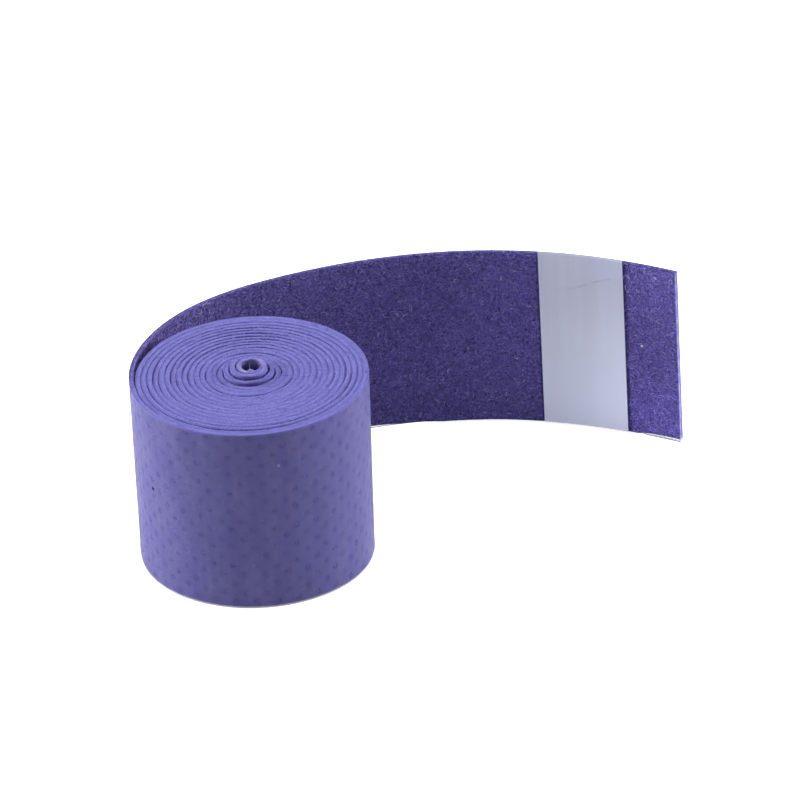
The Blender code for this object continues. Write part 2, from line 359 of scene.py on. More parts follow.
# ------------------------------------------------------------------ shader building
class Graph:
    """Short calls that add nodes to a tree and return an output socket."""

    def __init__(self, tree):
        self.tree = tree

    def plug(self, socket, value):
        if isinstance(value, bpy.types.NodeSocket):
            self.tree.links.new(value, socket)
        elif socket.type == "RGBA":
            socket.default_value = (*value, 1.0)
        else:
            socket.default_value = value

    def node(self, kind, inputs=None, out=0, **props):
        new = self.tree.nodes.new("ShaderNode" + kind)
        for key, value in props.items():
            setattr(new, key, value)
        for key, value in (inputs or {}).items():
            self.plug(new.inputs[key], value)
        return new.outputs[out]

    def maths(self, operation, *values, clamp=False):
        return self.node("Math", dict(enumerate(values)), operation=operation, use_clamp=clamp)

    def add(self, base, value, gain=None, clamp=False):
        """base + value * gain"""
        if gain is not None:
            value = self.mul(value, gain)
        return self.maths("ADD", base, value, clamp=clamp)

    def sub(self, value, less):
        return self.maths("SUBTRACT", value, less)

    def mul(self, value, factor, clamp=False):
        return self.maths("MULTIPLY", value, factor, clamp=clamp)

    def spread(self, value, to_low, to_high, low=0.3, high=0.7, **props):
        """Maps low..high to to_low..to_high."""
        return self.node("MapRange", {"Value": value, "From Min": low, "From Max": high,
                                      "To Min": to_low, "To Max": to_high}, **props)

    def ramp(self, value, low=0.3, high=0.7):
        return self.spread(value, 0.0, 1.0, low, high, interpolation_type="SMOOTHSTEP")

    def fall(self, value, low, high):
        return self.sub(1.0, self.ramp(value, low, high))

    def layer(self, base, over, mask=1.0, strength=None, blend="MIX"):
        """Lays the colour over on base where mask * strength says so."""
        if strength is not None:
            mask = self.mul(mask, strength)
        return self.node("Mix", {0: mask, 6: base, 7: over}, out=2, data_type="RGBA",
                         blend_type=blend)

    def noise(self, vector, scale, detail=2.0, rough=0.5, distort=0.0, out=0):
        return self.node("TexNoise", {"Vector": vector, "Scale": scale, "Detail": detail,
                                      "Roughness": rough, "Distortion": distort},
                         out=out, noise_dimensions="3D")

    def shifted(self, vector, offset=(0, 0, 0), scale=(1, 1, 1)):
        return self.node("Mapping", {"Vector": vector, "Location": offset, "Scale": scale})

    def vector(self, operation, inputs, out=0):
        return self.node("VectorMath", inputs, out=out, operation=operation)

    def fibre_lines(self, vector, scale, width, offset):
        """Thin curly threads: the level lines of a noise field."""
        field = self.noise(self.shifted(vector, offset), scale, detail=1.0, distort=0.9)
        away = self.maths("ABSOLUTE", self.sub(field, 0.5), 0.0)
        return self.fall(away, 0.0, width)

    def spot(self, vector, centre, solid, radius):
        """1 within solid of the centre, fading to 0 at radius."""
        away = self.vector("DISTANCE", {0: vector, 1: centre}, out="Value")
        return self.fall(away, solid, radius)

    def attr(self, name, out="Fac"):
        return self.node("Attribute", out=out, attribute_type="GEOMETRY", attribute_name=name)

    def shaded(self, colour):
        """Paints shade into the colour by the shade attribute, losing blue last, or paints light
        where it is below 0.
        """
        shade = self.attr("shade")
        grey = self.sub(1.0, self.mul(shade, factor=0.75))
        blue = self.maths("MAXIMUM", grey, self.sub(1.0, self.mul(shade, factor=0.48)))
        tint = self.node("CombineXYZ", {0: grey, 1: grey, 2: blue})
        return self.layer(colour, over=tint, blend="MULTIPLY")


class Surface(Graph):
    """A new material with one Principled shader."""

    def __init__(self, name):
        self.mat = bpy.data.materials.new(name)
        self.mat.use_nodes = True
        super().__init__(self.mat.node_tree)
        self.tree.nodes.clear()
        output = self.tree.nodes.new("ShaderNodeOutputMaterial")
        self.shader = self.tree.nodes.new("ShaderNodeBsdfPrincipled")
        self.tree.links.new(self.shader.outputs[0], output.inputs[0])

    def finish(self, inputs, bump=None):
        """Fills in the shader; bump holds the bump node's inputs."""
        if bump:
            inputs["Normal"] = self.node("Bump", bump)
        for key, value in inputs.items():
            self.plug(self.shader.inputs[key], value)
        return self.mat


# ------------------------------------------------------------------ materials
FELT_DARK, FELT_MID, FELT_LIGHT = (0.021, 0.013, 0.094), (0.061, 0.048, 0.226), (0.225, 0.194, 0.545)
EDGE_DARK, EDGE_MID, EDGE_LIGHT = (0.080, 0.077, 0.255), (0.110, 0.108, 0.345), (0.170, 0.168, 0.455)


def felt_material():
    mat = Surface("nonwoven_felt")
    pos = mat.attr("q", out="Vector")
    warp = mat.noise(pos, scale=0.8, out=1)
    warp = mat.vector("SUBTRACT", {0: warp, 1: (0.5, 0.5, 0.5)})
    warp = mat.vector("SCALE", {0: warp, "Scale": 1.1})
    warped = mat.vector("ADD", {0: pos, 1: warp})
    coarse = mat.fibre_lines(warped, scale=1.5, width=0.020, offset=(3.1, 7.7, 0.0))
    medium = mat.fibre_lines(warped, scale=2.3, width=0.026, offset=(13.4, 1.2, 5.0))
    fine = mat.fibre_lines(warped, scale=3.4, width=0.030, offset=(31.0, 9.2, 2.0))
    # coarse and medium threads come and go in patches
    field = mat.noise(mat.shifted(pos, offset=(5, 9, 1)), scale=1.1, detail=1.0)
    coarse_gate = mat.ramp(field, low=0.30, high=0.58)
    field = mat.noise(mat.shifted(pos, offset=(25, 3, 7)), scale=1.6, detail=1.0)
    medium_gate = mat.ramp(field, low=0.28, high=0.56)
    coarse = mat.mul(coarse, coarse_gate)
    medium = mat.mul(medium, medium_gate)
    faint = mat.mul(fine, factor=0.55)
    lines = mat.maths("MAXIMUM", mat.maths("MAXIMUM", coarse, medium), faint)
    grain = mat.noise(warped, scale=4.5, detail=3.0, rough=0.6)
    patch = mat.noise(pos, scale=0.30)
    pores = mat.ramp(mat.noise(mat.shifted(pos, offset=(1, 2, 3)), scale=2.6), low=0.36, high=0.52)
    base = mat.layer(FELT_DARK, over=FELT_MID, mask=mat.ramp(grain, low=0.40, high=0.60))
    base = mat.layer(base, over=(0.008, 0.005, 0.045), mask=mat.sub(1.0, pores), strength=0.85)
    base = mat.layer(base, over=FELT_LIGHT, mask=lines, strength=0.72)
    base = mat.layer(base, over=(0.93, 0.93, 0.96), mask=mat.ramp(patch), blend="MULTIPLY")
    # cut edges of the turns are paler, with short upright fibres
    at_edge = mat.attr("edge")
    stretched = mat.shifted(pos, offset=(2, 2, 2), scale=(1.0, 1.0, 1.6))
    edge_grain = mat.noise(stretched, scale=4.2, detail=3.0, rough=0.65)
    edge = mat.layer(EDGE_DARK, over=EDGE_MID, mask=mat.ramp(edge_grain, low=0.36, high=0.64))
    edge = mat.layer(edge, over=EDGE_LIGHT, mask=fine, strength=0.5)
    worn = mat.attr("worn")
    field = mat.noise(mat.shifted(pos, offset=(9, 4, 1)), scale=0.8)
    wear = mat.mul(worn, mat.ramp(field, low=0.42, high=0.66))
    edge = mat.layer(edge, over=(0.215, 0.200, 0.260), mask=wear, strength=0.75)
    colour = mat.shaded(mat.layer(base, over=edge, mask=at_edge))
    # a pale crumb caught in the felt near the tape's end
    crumb = mat.spot(pos, centre=(83.45, 13.2, 0.0), solid=0.12, radius=0.22)
    colour = mat.layer(colour, over=(0.55, 0.52, 0.42), mask=crumb)
    height = mat.add(mat.mul(lines, factor=0.9), grain, gain=0.8)
    return mat.finish({
        "Base Color": colour, "Roughness": 0.92, "Specular IOR Level": 0.18,
        "Sheen Weight": 0.18, "Sheen Roughness": 0.45, "Sheen Tint": (0.62, 0.58, 0.95),
    }, bump={"Strength": 0.8, "Distance": 0.00008, "Height": height})


def fibre_material():
    mat = Surface("felt_fibres")
    tone = mat.attr("tone")
    pos = mat.attr("q", out="Vector")
    field = mat.noise(pos, scale=3.0)
    colour = mat.layer((0.054, 0.041, 0.192), over=(0.205, 0.178, 0.490), mask=tone)
    colour = mat.layer(colour, over=(0.85, 0.85, 0.92), mask=mat.ramp(field, low=0.35),
                       blend="MULTIPLY")
    few = mat.maths("GREATER_THAN", tone, 0.988)             # a few fibres are much paler
    colour = mat.layer(colour, over=(0.34, 0.32, 0.48), mask=few)
    lint = mat.attr("lint")
    pale = mat.layer((0.088, 0.086, 0.285), over=(0.185, 0.182, 0.500), mask=tone)
    colour = mat.layer(colour, over=pale, mask=lint)
    return mat.finish({
        "Base Color": mat.shaded(colour), "Roughness": 0.7, "Specular IOR Level": 0.3,
    }, bump={"Strength": 0.3, "Distance": 0.00002, "Height": field})


def skin_material():
    mat = Surface("embossed_grip_skin")
    pos = mat.attr("q", out="Vector")
    mark = mat.attr("mark")
    grain = mat.noise(pos, scale=7.0, detail=3.0, rough=0.6)
    pebbles = mat.node("TexVoronoi", {"Vector": pos, "Scale": 5.5}, out="Distance",
                       feature="SMOOTH_F1")
    patch = mat.noise(mat.shifted(pos, scale=(0.25, 0.05, 0.2)), scale=1.0, detail=3.0, rough=0.6)
    mottle = mat.noise(mat.shifted(pos, offset=(7, 3, 0)), scale=0.9, detail=3.0, rough=0.6)
    colour = mat.layer((0.038, 0.034, 0.138), over=(0.044, 0.039, 0.155), mask=mat.ramp(patch))
    colour = mat.layer(colour, over=(0.037, 0.033, 0.134), mask=mat.ramp(mottle, low=0.35),
                       strength=0.5)
    # dimples are darker, unevenly
    blot = mat.noise(mat.shifted(pos, offset=(3, 1, 2)), scale=2.2)
    uneven = mat.add(0.40, mat.ramp(blot, low=0.35, high=0.65), gain=0.38)
    colour = mat.layer(colour, over=(0.013, 0.008, 0.070), mask=mat.mul(mark, uneven, clamp=True))
    colour = mat.layer(colour, over=(0.088, 0.084, 0.290), mask=mat.attr("edge"), strength=0.9)
    colour = mat.shaded(colour)
    # a dark fleck and a pale one on the outer turn: centre, radius, colour
    flecks = (((-4.1, 13.9, 0.64), 0.33, (0.004, 0.003, 0.022)),
              ((-21.9, 20.25, 0.64), 0.16, (0.15, 0.15, 0.28)))
    spots = []
    for centre, radius, tint in flecks:
        spots.append(mat.spot(pos, centre, solid=radius * 0.55, radius=radius))
        colour = mat.layer(colour, over=tint, mask=spots[-1])
    rough = mat.spread(grain, to_low=0.52, to_high=0.64)
    gloss = mat.mul(mat.sub(1.0, spots[0]), factor=0.15)     # the dark fleck is dull
    height = mat.add(mat.mul(grain, factor=0.5), pebbles, gain=0.7)
    return mat.finish({
        "Base Color": colour, "Roughness": rough, "Specular IOR Level": gloss,
    }, bump={"Strength": 0.035, "Distance": 0.00003, "Height": height})


def film_material():
    mat = Surface("clear_protective_film")
    pos = mat.attr("q", out="Vector")
    haze = mat.noise(mat.shifted(pos, scale=(0.5, 0.12, 1)), scale=1.2, detail=3.0, rough=0.6)
    rim = mat.attr("edge")
    colour = mat.layer((0.72, 0.72, 0.80), over=(0.86, 0.86, 0.90), mask=mat.ramp(haze))
    # painted contact shadow: the film's lowest strip, where it meets the floor, is dark
    colour = mat.layer(colour, over=(0.10, 0.09, 0.11), mask=mat.attr("hem"))
    # painted sheen: at grazing angles the film grows more opaque, so its pale colour shows along the
    # silhouettes
    graze = mat.node("LayerWeight", {"Blend": 0.12}, out="Facing")
    graze = mat.maths("POWER", graze, 5.0)
    alpha = mat.spread(haze, to_low=0.004, to_high=0.014)
    alpha = mat.add(alpha, graze, gain=0.08)
    alpha = mat.add(alpha, rim, gain=0.42)
    alpha = mat.add(alpha, mat.attr("hem"), gain=0.45, clamp=True)
    return mat.finish({
        "Base Color": colour, "Roughness": 0.30, "Specular IOR Level": 0.5, "Alpha": alpha,
    }, bump={"Strength": 0.15, "Distance": 0.0001, "Height": haze})


def adhesive_material():
    mat = Surface("starter_adhesive_layer")
    pos = mat.attr("q", out="Vector")
    blot = mat.noise(pos, scale=1.4, detail=4.0, rough=0.65)
    lines = mat.fibre_lines(pos, scale=2.0, width=0.03, offset=(4, 5, 6))
    colour = mat.layer((0.17, 0.16, 0.32), over=(0.25, 0.24, 0.40), mask=mat.ramp(blot))
    colour = mat.layer(colour, over=(0.12, 0.11, 0.27), mask=lines, strength=0.4)
    rough = mat.spread(blot, to_low=0.34, to_high=0.55)
    height = mat.add(blot, lines, gain=0.3)
    return mat.finish({
        "Base Color": colour, "Roughness": rough, "Specular IOR Level": 0.35,
    }, bump={"Strength": 0.4, "Distance": 0.00008, "Height": height})


def liner_material():
    mat = Surface("release_liner_film")
    pos = mat.attr("q", out="Vector")
    band = mat.noise(mat.shifted(pos, scale=(0.55, 0.02, 1)), scale=1.3, detail=3.0, rough=0.55)
    cloud = mat.noise(mat.shifted(pos, offset=(4, 0, 0), scale=(0.10, 0.06, 1)), scale=1.0)
    axes = mat.node("SeparateXYZ", {0: pos}).node.outputs    # along, z, depth
    colour = mat.layer((0.306, 0.322, 0.425), over=(0.328, 0.349, 0.462), mask=mat.ramp(band))
    colour = mat.layer(colour, over=(0.306, 0.325, 0.458),
                       mask=mat.ramp(cloud, low=0.35, high=0.65), strength=0.5)
    # painted light: paler low down, most of all towards the tape's end
    low = mat.fall(axes[1], low=2.0, high=21.0)
    near_end = mat.ramp(axes[0], low=71.0, high=80.5)
    pale = mat.mul(mat.add(0.45, near_end, gain=0.55), mat.mul(low, factor=0.85))
    colour = mat.layer(colour, over=(0.505, 0.532, 0.700), mask=pale)
    # painted shade: darker towards the top
    upper = mat.ramp(axes[1], low=12.0, high=24.0)
    colour = mat.layer(colour, over=(0.80, 0.79, 0.81), mask=upper, blend="MULTIPLY")
    colour = mat.layer(colour, over=(0.56, 0.58, 0.68), mask=mat.attr("edge"), strength=0.35)
    return mat.finish({
        "Base Color": colour, "Roughness": 0.24, "Specular IOR Level": 0.5,
        "Coat Weight": 0.35, "Coat Roughness": 0.12,
    }, bump={"Strength": 0.10, "Distance": 0.0002, "Height": band})


FELT, FIBRE, SKIN, FILM = felt_material(), fibre_material(), skin_material(), film_material()
GLUE, LINER = adhesive_material(), liner_material()


# ------------------------------------------------------------------ felt of the roll
# the felt's cut top: part of the way from its inner to its outer edge, whether the gap inside
# (1) or outside (0) rounds it, and how much
CROWN = ((0.00, 1, 1.00), (0.02, 1, 0.55), (0.09, 1, 0.20), (0.20, 1, 0.06), (0.34, 1, 0.01),
         (0.48, 0, 0.0), (0.62, 0, 0.0), (0.76, 0, 0.02), (0.88, 0, 0.06), (0.96, 0, 0.14),
         (1.0, 0, 0.30))


def core_squeeze(phi):
    """How much thinner the layers are near the core."""
    return 0.05 * (1 - smooth((turns_out(phi) - 1.2) / 0.8))


def felt_roll():
    along = stations(CORE_END, (CAD_CORE_END, 0.07), (CAD_CORE_END + 30, 0.14), (-600, 0.24),
                     (ROLL_END, 0.27))
    phi = phi_of(along)
    gap_in, gap_out = gap_inside(phi), gap_outside(phi)
    thick = FELT_T + 0.02 - core_squeeze(phi)
    free = smooth((along + 2) / 3)                           # the tail side has no neighbour
    inner = (0.03 * gap_in + 0.09 * gap_in**2) * (1 - free)
    inner = inner + (thick - 0.05 - inner) * (1 - smooth((along - CORE_END) / 3.0))
    tip = 1 - smooth((along - CORE_END) / 3.2)
    top, low = head(along), foot(along)
    # painted shade on the inner face and inner rounded edge of turns with wide gaps
    deep = smooth((gap_in - 0.45) / 0.45)
    core_painted_light = -1.3 * smooth((phi - PHI_CAD + 400) / 20)       # painted light on the innermost turn's inner face
    edge_here = np.where(along > -4, 1.0 - 0.65 * smooth((along - 0.5) / 3.3), 1.0)
    rows = [(inner * tip, low + (top - low) * part, 0.0, core_painted_light)
            for part in (0.25, 0.5, 0.78, 0.93)]
    rows.append((inner * (0.35 + 0.65 * tip), top - 0.75, 0.55, 0.5 * deep + 0.5 * core_painted_light))
    # where the gap inside is wide, the inner rounded edge carries painted shade
    for part, inside, fall in CROWN:
        fuzz = (0.026 * vnoise(along / 0.42, part * 4.0 + phi / 360.0 * 17, 31)
                + 0.030 * vnoise(along / 0.9, part * 2 + phi / 360.0 * 9, 32))
        if inside:
            drop = (0.03 * smooth(gap_in / 0.15) + 0.13 * gap_in + 0.38 * gap_in**3) * fall
        else:
            drop = (0.02 * smooth(gap_out / 0.15) + 0.09 * gap_out) * fall
        ripple = 0.014 * vnoise(along / 0.5, part * 3 + phi / 30.0, 33) * (0.05 < part < 0.95)
        rows.append((inner * (1 - part) + thick * part + ripple,
                     top - drop + fuzz * (0.5 if fall > 0.5 else 1.0),
                     edge_here * (0.85 if fall > 0.9 else 1.0),
                     deep * (0.95 * fall**0.6 if inside else 0.0)))
    rows.append((thick, top - 0.5, 0.3, 0.0))
    rows.append((thick, (low + top) / 2, 0.0, 0.0))
    for part in (1.0, 0.85, 0.5, 0.15, 0.0):
        ripple = 0.012 * (1 + vnoise(along / 0.6, part * 3 + phi / 20.0, 35))
        rows.append((thick * part, low + 0.02 + 0.10 * abs(2 * part - 1) ** 3 + ripple, 0.9, 0.0))
    depth, z, edge, shade = columns(rows)
    # the last few millimetres of the tape at the core are soiled and paler
    worn = 1 - smooth((along - CORE_END - 6.0) / 7.0)
    return sweep("felt_wound", along, depth, z, FELT, edge,
                 worn=worn[:, None] * (edge > 0.5), shade=shade)


def core_end():
    """The feathered end of the tape, standing across the hole from back to front."""
    run = np.linspace(0, 1, 44)
    x = AXIS[0] - 0.16 + 0.10 * np.sin(math.pi * run) + 0.16 * smooth((run - 0.72) / 0.28)
    y = AXIS[1] + 0.67 + 1.45 - 2.62 * run
    step_x, step_y = np.gradient(x), np.gradient(y)
    length = np.hypot(step_x, step_y)
    side_x, side_y = -step_y / length, step_x / length
    wide = 0.12 + 0.03 * np.sin(run * 9) + 0.75 * smooth((run - 0.76) / 0.16)
    top = (WIDTH + 0.90 - 0.26 + 0.20 * smooth((run - 0.62) / 0.3) - 0.05 * np.sin(run * 7)
           - 0.15 * smooth((0.15 - run) / 0.15))
    # half of the cross-section: part of the half width, distance below the top
    half = ((1, 4.6), (1, 2.4), (1, 0.9), (1, 0.30), (0.92, 0.12), (0.6, 0.03), (0.2, 0.0))
    ring = []
    for part, below in [(-part, below) for part, below in half] + list(half[::-1]):
        jitter = 0.025 * vnoise(run * 14, part * 3.0 + below, 57)
        aside = wide / 2 * part * (1 + 0.15 * vnoise(run * 9, below * 1.3, 58))
        ring.append(np.stack([x + side_x * aside, y + side_y * aside, top - below + jitter], -1))
    points = np.stack(ring, 1)
    tape_pos = np.stack([points[..., 1] * 1.3, points[..., 2], points[..., 0]], -1)
    edge = np.clip(1.0 - (top[:, None] - points[..., 2]) / 1.4, 0, 1)
    # painted shade on the upper part of the standing end
    standing_end_painted_shade = 0.75 * (1 - smooth((run - 0.72) / 0.14))
    worn = 0.15 + 0.75 * smooth((run - 0.74) / 0.12)
    return new_piece("felt_core_end", points * MM, ring_faces(*points.shape[:2]), FELT, tape_pos,
                     edge=edge, shade=standing_end_painted_shade[:, None], worn=edge * worn[:, None])


# ------------------------------------------------------------------ felt of the tail
# the felt's cut top on the tail: depth, drop, paleness
TAIL_RIM = ((0.01, 0.09, 0.5), (0.06, 0.03, 0.9), (0.14, 0.0, 1.0), (0.26, 0.0, 1.0),
            (0.38, 0.02, 1.0), (0.46, 0.04, 1.0))


def felt_painted_light_and_shade(along, z):
    """Painted light and shade on the open felt, as a shade value (below 0 lightens): lighter half way
    up and further down the tail, darker low down, and towards the tape's end lighter still, most of
    all low down."""
    end = smooth((along - 81.2) / 0.6)
    body = (-0.20 * np.exp(-(((z - 13) / 6.5) ** 2)) - 0.12 * smooth((along - 56) / 10)
            + 0.24 * (1 - smooth(z / 6.5)))
    return body * (1 - end) - end * (0.40 + 0.95 * (1 - smooth((z - 1.0) / 13.0)))


def felt_face(along, z):
    """Relief of the felt's open face: matted fibre bundles, pits and a slow waviness."""
    warp_along = along + 0.5 * vnoise(along / 0.9, z / 0.9, 41)
    warp_z = z + 0.5 * vnoise(along / 0.9, z / 0.9, 42)
    ridge = 1 - np.abs(vnoise(warp_along / 0.55, warp_z / 0.55, 43))
    fine = vnoise(warp_along / 0.27, warp_z / 0.27, 44)
    slow = vnoise(along / 3.5, z / 3.5, 45)
    return 0.040 * (ridge - 0.5) + 0.020 * fine + 0.020 * slow


def felt_tail(name, start, end):
    along = samples(start, end, 0.17)
    top, low = head(along), foot(along)
    # painted shadow lines in the felt beside both ends of the starter strip
    line = np.maximum(np.exp(-(((along - 69.80) / 0.16) ** 2)),
                      np.exp(-(((along - 81.38) / 0.20) ** 2)))
    rows = []
    for part in np.linspace(0, 1, 150):
        z = low + 0.10 + (top - low - 0.22) * part
        relief = felt_face(along, z) * smooth((z - low) / 0.4) * smooth((top - z) / 0.3)
        # the shade value carries the painted shadow lines and the painted light and shade
        rows.append((-relief, z, 0.0, line + felt_painted_light_and_shade(along, z) * (1 - line)))
    # near the roll the top rim takes the paler edge colour; down the tail it carries painted shade
    # instead
    pale = 0.35 * (1 - smooth((along - ROLL_END) / 26.0))
    rim_painted_shade = 0.25 * smooth((along - ROLL_END) / 22.0)
    for depth, drop, paleness in TAIL_RIM:
        z = top - drop + 0.035 * vnoise(along / 0.35, depth * 8, 51) - 0.01
        rows.append((depth + 0.02 * vnoise(along / 0.5, depth * 9, 53), z, pale * paleness, rim_painted_shade))
    back = FELT_T + 0.015
    rows.append((back, top - 0.08, pale, rim_painted_shade))
    rows.append((back, (top + low) / 2, 0.0, 0.0))
    rows.append((back, low + 0.06, 0.0, 0.0))
    for depth in (0.40, 0.24, 0.08):
        z = low + 0.03 + 0.015 * vnoise(along / 0.4, depth * 8, 52)
        rows.append((depth, z, 0.5, 0.0))
    depth, z, edge, shade = columns(rows)
    cut = ((along > TAIL_END - 0.05) * 1.0)[:, None]         # the cut end is paler
    return sweep(name, along, depth, z, FELT, np.maximum(edge, 0.8 * cut), shade=shade, worn=cut)


# ------------------------------------------------------------------ loose fibres
FIBRE_RINGS, FIBRE_SIDES = 5, 3
FIBRE_RUN = np.linspace(0, 1, FIBRE_RINGS)
FIBRE_ARCH = np.sin(math.pi * FIBRE_RUN)
FACE_FIBRES_PER_MM2, EDGE_FIBRES_PER_MM, TOP_FIBRES = 4.0, 9, 3600


def tube_faces(count):
    rings, sides = FIBRE_RINGS, FIBRE_SIDES
    base = np.arange(count)[:, None, None] * rings * sides
    here = np.arange(sides)[None, None, :]
    beside = (here + 1) % sides
    ring = base + np.arange(rings - 1)[None, :, None] * sides
    corners = (ring + here, ring + beside, ring + sides + beside, ring + sides + here)
    quads = np.stack(np.broadcast_arrays(*corners), -1).reshape(-1, 4)
    first = base[:, 0, :] + np.arange(sides)[::-1]
    last = base[:, 0, :] + (rings - 1) * sides + np.arange(sides)
    return quads.tolist() + first.tolist() + last.tolist()


def bent(rng, count, lengths, curl):
    """Offsets along two axes, and the heading, of gently curling fibres."""
    angle = rng.uniform(0, 2 * math.pi, count)[:, None]
    way = (angle + rng.normal(0, curl, count)[:, None] * (FIBRE_RUN - 0.5)
           + 0.5 * np.sin(FIBRE_RUN * 5 + angle))
    step = (lengths / (FIBRE_RINGS - 1))[:, None]
    zero = np.zeros((count, 1))
    first, second = (np.concatenate([zero, np.cumsum(turn(way[:, :-1]), 1)], 1) * step
                     for turn in (np.cos, np.sin))
    return first, second, way


def taper(radius, slope=5, tip=0.35):
    return radius[:, None] * np.clip(np.minimum(FIBRE_RUN, 1 - FIBRE_RUN) * slope + tip, 0, 1)


def tubes(along, across, lift, way, radius):
    """Tube points around centre lines: along, across and lifted off the surface."""
    around = 2 * math.pi * np.arange(FIBRE_SIDES) / FIBRE_SIDES
    along, across, lift, way, radius = (v[..., None] for v in (along, across, lift, way, radius))
    return (along - np.sin(way) * radius * np.cos(around),
            across + np.cos(way) * radius * np.cos(around),
            lift + radius * np.sin(around))


def fibre_tubes(name, start, end, seed):
    """Loose fibres matted on the felt's open face and along its upper edge."""
    rng = np.random.default_rng(seed)
    count = int((end - start) * WIDTH * FACE_FIBRES_PER_MM2)
    lengths = np.where(rng.uniform(size=count) < 0.975, rng.uniform(0.35, 1.05, count),
                       rng.uniform(1.0, 1.7, count))
    shift, rise, way = bent(rng, count, lengths, 2.1)
    along = rng.uniform(start, end, count)[:, None] + shift
    z = rng.uniform(0.15, WIDTH - 0.05, count)[:, None] + rise
    radius, puff = rng.uniform(0.030, 0.050, count), rng.uniform(0.0, 0.05, count)
    keep = ((along.min(1) > start + 0.03) & (along.max(1) < end - 0.03)
            & (z.min(1) > 0.10) & (z.max(1) < WIDTH + 0.04))
    along, z, way, radius, puff = (v[keep] for v in (along, z, way, radius, puff))
    lift = felt_face(along, z) + radius[:, None] * 0.2 + puff[:, None] * FIBRE_ARCH
    face_along, face_z, face_lift = tubes(along, z + foot(along) * (1 - z / WIDTH), lift, way,
                                          taper(radius))
    # the cut upper edge is frayed
    count = int((end - start) * EDGE_FIBRES_PER_MM)
    shift, rise, way = bent(rng, count, rng.uniform(0.25, 0.75, count), 1.6)
    along = rng.uniform(start, end, count)[:, None] + shift
    depth = rng.uniform(0.0, 0.46, count)[:, None] + 0.6 * rise
    keep = ((along.min(1) > start + 0.03) & (along.max(1) < end - 0.03)
            & (depth.min(1) > -0.10) & (depth.max(1) < 0.60))
    along, depth, way = along[keep], depth[keep], way[keep]
    height = head(along) + 0.02 + rng.uniform(0.0, 0.10, len(along))[:, None] * FIBRE_ARCH
    edge_along, edge_depth, edge_z = tubes(along, depth, height, way,
                                           taper(rng.uniform(0.018, 0.032, len(along))))
    along = np.concatenate([face_along, edge_along])
    depth = np.concatenate([-face_lift, edge_depth])
    z = np.concatenate([face_z, edge_z])
    tone = rng.uniform(0.0, 1.0, len(along))
    # painted light and shade on the face fibres, as on the felt; the fibres on the upper edge are
    # lightened
    shade = felt_painted_light_and_shade(along, z)
    shade[len(face_along):] = -0.25
    return tape_piece(name, along, depth, z, tube_faces(len(along)), FIBRE,
                      tone=tone[:, None, None], shade=shade)


def top_fuzz():
    """Short fibres raised along the cut edges of the turns; some bridge the gaps."""
    rng = np.random.default_rng(77)
    count = TOP_FIBRES
    root = rng.uniform(CORE_END + 3, 3.0, count)
    shift, rise, way = bent(rng, count, rng.uniform(0.22, 0.70, count), 2.0)
    depth = rng.uniform(-0.05, 0.66, count)[:, None] + rise
    depth = np.where(root[:, None] > -97, np.clip(depth, -0.05, 0.58), depth)  # outer turn
    radius = taper(rng.uniform(0.016, 0.030, count), slope=4, tip=0.4)
    lift = (0.004 + rng.uniform(0, 0.05, count)[:, None] * FIBRE_ARCH
            - 0.02 * rng.uniform(0, 1, count)[:, None])
    points = tubes(root[:, None] + shift, depth, head(root)[:, None] + lift, way, radius)
    tone = rng.uniform(0, 0.97, count)
    return tape_piece("felt_edge_fibres", *points, tube_faces(count), FIBRE,
                      tone=tone[:, None, None], lint=1.0)


# ------------------------------------------------------------------ skin with its dimples
CELL, TOP_ROW_Z = 1.31, 24.5
ROW_Z = [TOP_ROW_Z - CELL * k for k in range(19)]
ROW_EDGE = [WIDTH - 0.03] + [TOP_ROW_Z - CELL * (k + 0.5) for k in range(18)] + [0.03]
# rings of a dimple: radius, height, darkness
DIMPLE = ((0.10, -0.020, 0.38), (0.19, -0.034, 0.72), (0.262, -0.056, 1.0),
          (0.335, -0.026, 0.62), (0.43, -0.002, 0.10))
# a cell is 4 x 4 quads; its border points, anticlockwise from the middle of one side
BORDER = [(4, 2), (4, 3), (4, 4), (3, 4), (2, 4), (1, 4), (0, 4), (0, 3),
          (0, 2), (0, 1), (0, 0), (1, 0), (2, 0), (3, 0), (4, 0), (4, 1)]
# the skin's rims and back, from the top down: depth, z, edge
SKIN_BACK = ((SKIN_AT + SKIN_T - 0.03, WIDTH, 0.8), (SKIN_AT + 0.02, WIDTH, 1.0),
             (SKIN_AT, WIDTH - 0.05, 0.6), (SKIN_AT, WIDTH / 2, 0.0), (SKIN_AT, 0.05, 0.3),
             (SKIN_AT + 0.02, 0.0, 0.6), (SKIN_AT + SKIN_T - 0.03, 0.0, 0.6))


